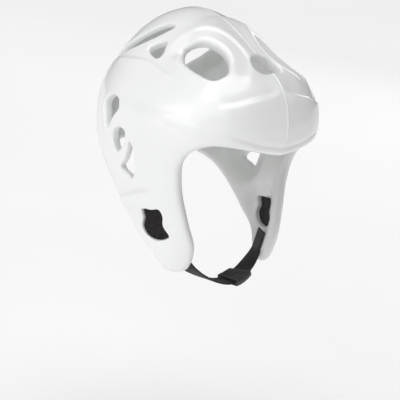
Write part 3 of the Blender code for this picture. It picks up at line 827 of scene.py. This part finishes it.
def knit_mesh(loop, depth):
    """Crossing threads of the ear cloth, which pass over and under each other."""
    points, faces = [], []
    for along in (0, 1):
        for line, wave in thread_runs(loop, along):
            out = normal(line)
            middle = base(line) - out * (depth - wave)[:, None]
            way = unit(np.gradient(middle, axis=0))
            side = unit(np.cross(way, out))
            start = len(points) * THREAD_SIDES
            for p, s, o in zip(middle, side, np.cross(side, way)):
                points.append([p + THREAD_RADIUS * (cos(t) * s + sin(t) * o) for t in THREAD_TURNS])
            faces += tube_faces(len(middle), THREAD_SIDES, start)
            faces += cap_faces(start, start + THREAD_SIDES * (len(middle) - 1), THREAD_SIDES)
    return np.array(points).reshape(-1, 3), faces


def strap_line():
    """Middle points of the chin strap, from the right flap to the left one, and the directions
    of its width and thickness."""
    spots = curve(STRAP_ON_FLAP, "open", FLAP_STATIONS)
    out = normal(spots)
    on_flap = base(spots) - out * (WALL + STRAP_SEAT + STRAP_THICKNESS / 2)
    leave, down = on_flap[-1], on_flap[-1] - on_flap[-2]
    bottom = np.array([0.0, leave[1] - CHIN_FORWARD, leave[2] - CHIN_DROP])
    start_way = down * STRAP_BEND / np.linalg.norm(down)
    end_way = np.array([CHIN_WIDTH, 0.0, 0.0])
    t = np.linspace(0, 1, STRAP_STATIONS + 1)[1:, None]
    hang = hermite(t, leave, bottom, start_way, end_way)
    half = np.vstack([on_flap, hang])
    line = np.vstack([half, half[-2::-1] * (-1, 1, 1)])
    way = unit(np.gradient(line, axis=0))
    on_flap_wide = np.cross(out, way[:len(spots)])
    hang_wide = on_flap_wide[-1] * (1 - t) + np.array([0.0, -1.0, 0.0]) * t
    half_wide = np.vstack([on_flap_wide, hang_wide])
    wide = np.vstack([half_wide, half_wide[-2::-1] * (-1, 1, 1)])
    wide = unit(wide - way * np.einsum("ij,ij->i", wide, way)[:, None])
    return line, wide, np.cross(way, wide)


def band_faces(first, second, count, closed=True, flip=False):
    """Triangles between two rows of points, from the numbers of their first points."""
    faces = []
    for i in range(count if closed else count - 1):
        j = (i + 1) % count
        faces += [(first + i, first + j, second + j), (first + i, second + j, second + i)]
    return [face[::-1] for face in faces] if flip else faces


def tube_faces(stations, corners, start=0, flip=False):
    """Triangles along a tube's sides, ring by ring."""
    faces = []
    for first in range(start, start + corners * (stations - 1), corners):
        faces += band_faces(first, first + corners, corners, flip=flip)
    return faces


def cap_faces(first, last, corners):
    """Triangles that close both ends of a tube."""
    faces = []
    for c in range(1, corners - 1):
        faces += [(first, first + c + 1, first + c), (last, last + c, last + c + 1)]
    return faces


def band_section(half_width, half_thickness, columns):
    """A flat band's section, anticlockwise: across and up, with rounded selvedges."""
    across_top = np.cos(np.linspace(0, pi, columns)) * half_width
    top = half_thickness * (1 - np.abs(across_top / half_width) ** BAND_POWER) ** 0.5
    rows = np.stack([across_top, np.maximum(top, BAND_EDGE * half_thickness)], 1)
    return np.vstack([rows, rows[::-1] * (1, -1)])


def strap_mesh():
    """The webbing, with its woven ribs as real relief."""
    line, wide, thick = strap_line()
    section = band_section(STRAP_WIDTH / 2, STRAP_THICKNESS / 2 - RIB_LIFT, STRAP_COLUMNS)
    along = np.concatenate([[0], np.cumsum(np.linalg.norm(np.diff(line, axis=0), axis=1))])
    zigzag = np.abs((section[:, 0] / HERRINGBONE) % 2 - 1) * HERRINGBONE
    face = np.sign(section[:, 1])
    inner = np.abs(section[:, 0]) < STRAP_WIDTH / 2 - SELVEDGE
    rings = []
    for p, w, t, s in zip(line, wide, thick, along):
        lift = RIB_LIFT * np.cos(2 * pi * (s + zigzag) / RIB_PITCH) * inner
        rings.append(p + section[:, :1] * w + (section[:, 1:] + (lift * face)[:, None]) * t)
    points = np.vstack(rings)
    corners = len(section)
    faces = tube_faces(len(line), corners)
    faces += cap_faces(0, corners * (len(line) - 1), corners)
    return points, faces


def rounded_box(half_width, half_height, radius):
    """Section of a rounded rectangle, anticlockwise."""
    turns = np.linspace(0, pi / 2, CORNER_STEPS + 1)
    rows = []
    for quarter, (a, b) in enumerate(((1, 1), (-1, 1), (-1, -1), (1, -1))):
        turn = turns + quarter * pi / 2
        rows.append(np.stack([a * (half_width - radius) + radius * np.cos(turn),
                              b * (half_height - radius) + radius * np.sin(turn)], 1))
    return np.vstack(rows)


def clasp_mesh():
    """A plain moulded sleeve round the strap, with rounded ends and grip ribs."""
    line, wide, thick = strap_line()
    middle = len(line) // 2
    along = np.concatenate([[0], np.cumsum(np.linalg.norm(np.diff(line[middle:], axis=0), axis=1))])
    count = int((CLASP_TO - CLASP_FROM) / CLASP_STEP)
    places = np.linspace(CLASP_FROM, CLASP_TO, count + 1)
    line, wide, thick = (np.stack([np.interp(places, along, row[middle:, k]) for k in range(3)], 1)
                         for row in (line, wide, thick))
    inner_w, inner_t = STRAP_WIDTH / 2 + PIECE_GAP, STRAP_THICKNESS / 2 + PIECE_GAP
    from_end = np.minimum(places - CLASP_FROM, CLASP_TO - places)
    cut = CLASP_ROUND - np.sqrt(CLASP_ROUND ** 2 - np.maximum(CLASP_ROUND - from_end, 0) ** 2)
    ribs = np.maximum(np.cos(2 * pi * (places - CLASP_FROM) / GRIP_PITCH), 0) * GRIP_LIFT
    ribs = ribs * (from_end > GRIP_FROM)
    hole = rounded_box(inner_w, inner_t, HOLE_CORNER)
    outer, inner = [], []
    for p, w, t, c, r in zip(line, wide, thick, cut, ribs):
        height = inner_t + CLASP_WALL - GRIP_LIFT - c + r
        ring = rounded_box(inner_w + CLASP_WALL - c, height, CLASP_CORNER)
        outer.append(p + ring[:, :1] * w + ring[:, 1:] * t)
        inner.append(p + hole[:, :1] * w + hole[:, 1:] * t)
    points = np.vstack(outer + inner)
    corners, stations = len(hole), len(line)
    shift, last = corners * stations, corners * (stations - 1)
    faces = tube_faces(stations, corners) + tube_faces(stations, corners, shift, flip=True)
    faces += band_faces(0, shift, corners, flip=True)
    faces += band_faces(last, last + shift, corners)
    return points, faces


def flipped_side(mesh_data):
    """The same mesh on the wearer's left."""
    points, faces = mesh_data
    return points * (-1, 1, 1), [face[::-1] for face in faces]


def new_material(name, finish=()):
    """A material with settings of its shader, a helper that adds a node, and one that links a
    socket to the shader."""
    material = bpy.data.materials.new(name)
    material.use_nodes = True
    tree = material.node_tree
    shader = tree.nodes["Principled BSDF"]
    for key, value in dict(finish).items():
        shader.inputs[key].default_value = value

    def add(kind, inputs=(), **settings):
        node = tree.nodes.new(kind)
        for key, value in settings.items():
            setattr(node, key, value)
        for key, value in dict(inputs).items():
            if isinstance(value, bpy.types.NodeSocket):
                tree.links.new(value, node.inputs[key])
            else:
                node.inputs[key].default_value = value
        return node

    def link(socket, key):
        tree.links.new(socket, shader.inputs[key])

    return material, add, link


def noise(add, scale, detail, rough):
    """A cloudy pattern that is fixed to the object."""
    spot = add("ShaderNodeTexCoord").outputs["Object"]
    node = add("ShaderNodeTexNoise",
               {"Vector": spot, "Scale": scale, "Detail": detail, "Roughness": rough})
    return node.outputs["Fac"]


def ramp(add, source, span, colours):
    """The colours of a pattern, from one to the other over a span of its values."""
    node = add("ShaderNodeValToRGB", {"Fac": source})
    for element, place, colour in zip(node.color_ramp.elements, span, colours):
        element.position = place
        element.color = (*colour, 1.0)
    return node.outputs["Color"]


def spread(add, source, span, values):
    """A pattern's values, carried from one span to another."""
    node = add("ShaderNodeMapRange", {"Value": source, "From Min": span[0], "From Max": span[1],
                                      "To Min": values[0], "To Max": values[1]})
    return node.outputs["Result"]


def bump(add, source, strength, depth, **under):
    """The normal of a surface with a pattern's bumps, over the Normal given under them."""
    node = add("ShaderNodeBump",
               {"Strength": strength, "Distance": depth, "Height": source, **under})
    return node.outputs["Normal"]


def foam_skin():
    """Glossy white vinyl, dipped over foam: faint waves, orange peel, and painted shade that
    darkens the inner face and deep recesses.
    """
    material, add, link = new_material("white_dipped_foam", SKIN_FINISH)
    white = ramp(add, noise(add, *SKIN_CLOUDS), CLOUD_SPAN, (SKIN_SHADE, SKIN_WHITE))
    # Painted shade: the colour turns to a darker grey where a point lies deep below the base form
    painted_shade_mask = add("ShaderNodeAttribute", attribute_name="painted_shade_mask")
    shaded_colour = add("ShaderNodeMix",
                 {"Factor": painted_shade_mask.outputs["Fac"], "A": white, "B": (*SKIN_PAINTED_SHADE, 1.0)},
                 data_type="RGBA")
    link(shaded_colour.outputs["Result"], "Base Color")
    link(spread(add, noise(add, *SKIN_SMEARS), CLOUD_SPAN, SKIN_GLOSS), "Roughness")
    waves = bump(add, noise(add, *SKIN_WAVES), *WAVE_BUMP)
    link(bump(add, noise(add, *SKIN_PEEL), *PEEL_BUMP, Normal=waves), "Normal")
    return material


def black_cloth(name, colours, scale, rough):
    """Black nylon with a little dust and sheen along its threads, and a lighter mottling of its
    colour that is dust and partly painted glints.
    """
    material, add, link = new_material(name, CLOTH_FINISH)
    # Mottled colour: dust, and partly painted glints on the knit's wrinkles
    dust_and_glints = noise(add, scale, *DUST_AND_GLINTS)
    link(ramp(add, dust_and_glints, DUST_AND_GLINT_SPAN, colours), "Base Color")
    link(spread(add, dust_and_glints, WHOLE_SPAN, (rough - CLOTH_SWING, rough + CLOTH_SWING)), "Roughness")
    link(bump(add, noise(add, FIBRES_FINER * scale, *FIBRES), *FIBRE_BUMP), "Normal")
    return material


def moulded_plastic():
    """Black moulded nylon with a fine spark-eroded grain."""
    material, add, link = new_material("black_plastic")
    clouds = noise(add, *PLASTIC_CLOUDS)
    link(ramp(add, clouds, CLOUD_SPAN, PLASTIC_BLACKS), "Base Color")
    link(spread(add, clouds, WHOLE_SPAN, PLASTIC_GLOSS), "Roughness")
    link(bump(add, noise(add, *PLASTIC_GRAIN), *GRAIN_BUMP), "Normal")
    return material


def pale_floor():
    """A plain pale studio sheet with a faint glow."""
    material, add, link = new_material("studio_sheet", SHEET_FINISH)
    link(ramp(add, noise(add, *SHEET_CLOUDS), CLOUD_SPAN, SHEET_WHITES), "Base Color")
    return material


def add_object(name, mesh_data, material, node):
    """Turn points in millimetres and triangles into a piece, which may replace a CAD node."""
    points, faces = mesh_data
    mesh = bpy.data.meshes.new(name)
    mesh.from_pydata((np.asarray(points) * METRE).tolist(), [], faces)
    mesh.update()
    mesh.materials.append(material)
    mesh.shade_smooth()
    item = bpy.data.objects.new(name, mesh)
    bpy.context.scene.collection.objects.link(item)
    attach(item, "root")
    if node:
        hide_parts(node)
    return item


def mark_painted_shade(item):
    """Store a mask of painted shade: how far each point lies below the base form, so that the inner
    face and deep recesses are coloured darker.
    """
    points = np.array([vertex.co for vertex in item.data.vertices]) / METRE
    points[:, 0] = -np.abs(points[:, 0])
    skin = base(chart(points))
    under = np.linalg.norm(skin - CENTRE, axis=1) - np.linalg.norm(points - CENTRE, axis=1)
    shade = item.data.attributes.new("painted_shade_mask", "FLOAT", "POINT")
    shade.data.foreach_set("value", smooth((under - PAINTED_SHADE_FROM) / PAINTED_SHADE_REACH).astype(np.float32))


def make_object():
    """All the pieces of the head guard."""
    loops = make_loops()
    ear = next(loop for loop in loops if loop["name"] == "ear")
    raised = THREAD_LIFT + THREAD_RADIUS
    cloth = patch_mesh(ear, EAR_MESH_DEPTH + raised, EAR_MESH_WALL - raised)
    knit = knit_mesh(ear, EAR_MESH_DEPTH + raised)
    ears = {"right": (cloth, knit), "left": (flipped_side(cloth), flipped_side(knit))}
    skin = foam_skin()
    fabric = black_cloth(*FABRIC)
    webbing = black_cloth(*WEBBING)
    shell = add_object("foam_shell", shell_mesh(), skin, "shell")
    # Painted shade in the inner face and deep recesses
    mark_painted_shade(shell)
    for side, (cloth, knit) in ears.items():
        add_object("ear_cloth_" + side, cloth, fabric, "ear_mesh_" + side)
        add_object("ear_knit_" + side, knit, fabric, None)
    add_object("chin_webbing", strap_mesh(), webbing, "chin_strap")
    add_object("strap_sleeve", clasp_mesh(), moulded_plastic(), "strap_clasp")


def outward(azimuth, height):
    """Direction away from the guard, at an azimuth from its front and a height, in degrees."""
    a, e = radians(azimuth), radians(height)
    return Vector((sin(a) * cos(e), -cos(a) * cos(e), sin(e)))


def make_camera():
    """The photograph's view: from the wearer's right front, a little above and slightly rolled."""
    back = outward(CAMERA_AZIMUTH, CAMERA_HEIGHT)
    azimuth, roll = radians(CAMERA_AZIMUTH), radians(CAMERA_ROLL)
    level = Vector((cos(azimuth), sin(azimuth), 0.0))
    upright = back.cross(level)
    right = level * cos(roll) + upright * sin(roll)
    up = upright * cos(roll) - level * sin(roll)
    data = bpy.data.cameras.new("camera")
    data.sensor_width = SENSOR
    data.lens = SENSOR * PIXELS_PER_MM * CAMERA_DISTANCE / IMAGE_SIDE
    data.shift_x = (IMAGE_SIDE / 2 - AIM_PIXEL[0]) / IMAGE_SIDE
    data.shift_y = (AIM_PIXEL[1] - IMAGE_SIDE / 2) / IMAGE_SIDE
    camera = bpy.data.objects.new("camera", data)
    place = Vector(CAMERA_AIM) + back * CAMERA_DISTANCE
    camera.matrix_world = Matrix((
        (right.x, up.x, back.x, place.x * METRE),
        (right.y, up.y, back.y, place.y * METRE),
        (right.z, up.z, back.z, place.z * METRE),
        (0, 0, 0, 1)))
    bpy.context.scene.collection.objects.link(camera)
    bpy.context.scene.camera = camera


def add_light(data, azimuth, height, distance):
    """Place a light round the guard, facing it."""
    light = bpy.data.objects.new(data.name, data)
    back = outward(azimuth, height)
    light.location = Vector(CAMERA_AIM) * METRE + back * distance
    light.rotation_euler = back.to_track_quat("Z", "Y").to_euler()
    bpy.context.scene.collection.objects.link(light)


def make_lights():
    """Soft boxes and wide soft suns, which light the floor evenly."""
    for name, azimuth, height, distance, side, power in SOFT_BOXES:
        data = bpy.data.lights.new(name, "AREA")
        data.shape = "SQUARE"
        data.size = side
        data.energy = power
        add_light(data, azimuth, height, distance)
    for name, azimuth, height, spread, strength in SUNS:
        data = bpy.data.lights.new(name, "SUN")
        data.angle = radians(spread)
        data.energy = strength
        add_light(data, azimuth, height, SUN_DISTANCE)


def make_room():
    """The floor, and the even light of a studio, which looks as pale as the floor beyond it."""
    mesh = bpy.data.meshes.new("floor")
    half = FLOOR_SIDE / 2
    signs = ((-1, -1), (1, -1), (1, 1), (-1, 1))
    mesh.from_pydata([(x * half, y * half, FLOOR_Z) for x, y in signs], [], [(0, 1, 2, 3)])
    mesh.materials.append(pale_floor())
    floor = bpy.data.objects.new("floor", mesh)
    bpy.context.scene.collection.objects.link(floor)
    world = bpy.data.worlds.new("studio")
    bpy.context.scene.world = world
    world.use_nodes = True
    tree = world.node_tree
    sky = tree.nodes["Background"]
    sky.inputs["Color"].default_value = WHITE
    path = tree.nodes.new("ShaderNodeLightPath")
    strength = tree.nodes.new("ShaderNodeMapRange")
    strength.inputs["To Min"].default_value = WORLD_STRENGTH
    strength.inputs["To Max"].default_value = HORIZON_TONE
    tree.links.new(path.outputs["Is Camera Ray"], strength.inputs["Value"])
    tree.links.new(strength.outputs["Result"], sky.inputs["Strength"])
    bpy.context.scene.view_settings.view_transform = "Standard"


make_object()
make_camera()
make_lights()
make_room()
